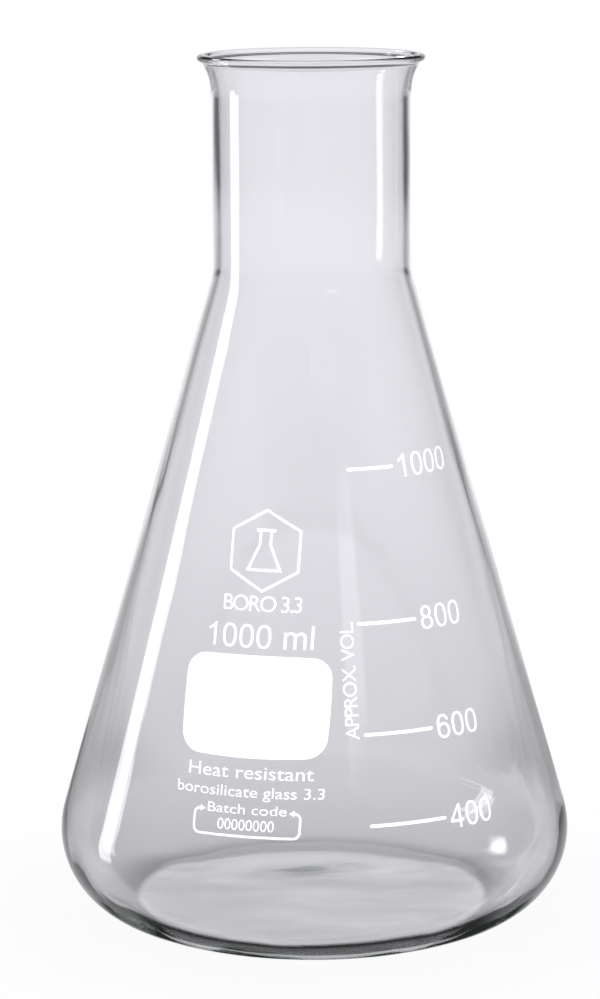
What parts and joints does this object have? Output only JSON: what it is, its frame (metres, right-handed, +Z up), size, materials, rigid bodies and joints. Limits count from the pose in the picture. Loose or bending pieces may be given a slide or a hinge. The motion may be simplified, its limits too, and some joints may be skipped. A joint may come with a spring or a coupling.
{
  "type": "erlenmeyer flask",
  "caption": "Wide-neck conical laboratory flask of clear glass with a beaded rim, a fired-on white volume scale, a writing patch and a batch bracket.",
  "frame": {"origin": "centre of the resting plane under the foot ring, on the flask's axis", "axes": "+Z up along the flask's axis, -Y out of the printed front, +X to the right when it is seen from the front"},
  "size_m": [0.131, 0.131, 0.22],
  "materials": {
    "borosilicate_glass": "clear, fire-polished",
    "white_enamel": "satin fired enamel"
  },
  "bodies": {
    "root": {"batch_bracket": "white_enamel", "capacity_letter_1": "white_enamel", "capacity_letter_2": "white_enamel", "capacity_letter_3": "white_enamel", "capacity_letter_4": "white_enamel", "capacity_letter_5": "white_enamel", "capacity_letter_6": "white_enamel", "emblem_flask": "white_enamel", "emblem_hexagon": "white_enamel", "glass_body": "borosilicate_glass", "glass_type_letter_1": "white_enamel", "glass_type_letter_2": "white_enamel", "glass_type_letter_3": "white_enamel", "glass_type_letter_4": "white_enamel", "glass_type_letter_5": "white_enamel", "glass_type_letter_6": "white_enamel", "glass_type_letter_7": "white_enamel", "graduation_line_1000": "white_enamel", "graduation_line_400": "white_enamel", "graduation_line_600": "white_enamel", "graduation_line_800": "white_enamel", "numeral_1000_digit_1": "white_enamel", "numeral_1000_digit_2": "white_enamel", "numeral_1000_digit_3": "white_enamel", "numeral_1000_digit_4": "white_enamel", "numeral_400_digit_1": "white_enamel", "numeral_400_digit_2": "white_enamel", "numeral_400_digit_3": "white_enamel", "numeral_600_digit_1": "white_enamel", "numeral_600_digit_2": "white_enamel", "numeral_600_digit_3": "white_enamel", "numeral_800_digit_1": "white_enamel", "numeral_800_digit_2": "white_enamel", "numeral_800_digit_3": "white_enamel", "scale_caption_letter_01": "white_enamel", "scale_caption_letter_02": "white_enamel", "scale_caption_letter_03": "white_enamel", "scale_caption_letter_04": "white_enamel", "scale_caption_letter_05": "white_enamel", "scale_caption_letter_06": "white_enamel", "scale_caption_letter_07": "white_enamel", "scale_caption_letter_08": "white_enamel", "scale_caption_letter_09": "white_enamel", "scale_caption_letter_10": "white_enamel", "scale_caption_letter_11": "white_enamel", "writing_panel": "white_enamel"}
  },
  "joints": []
}
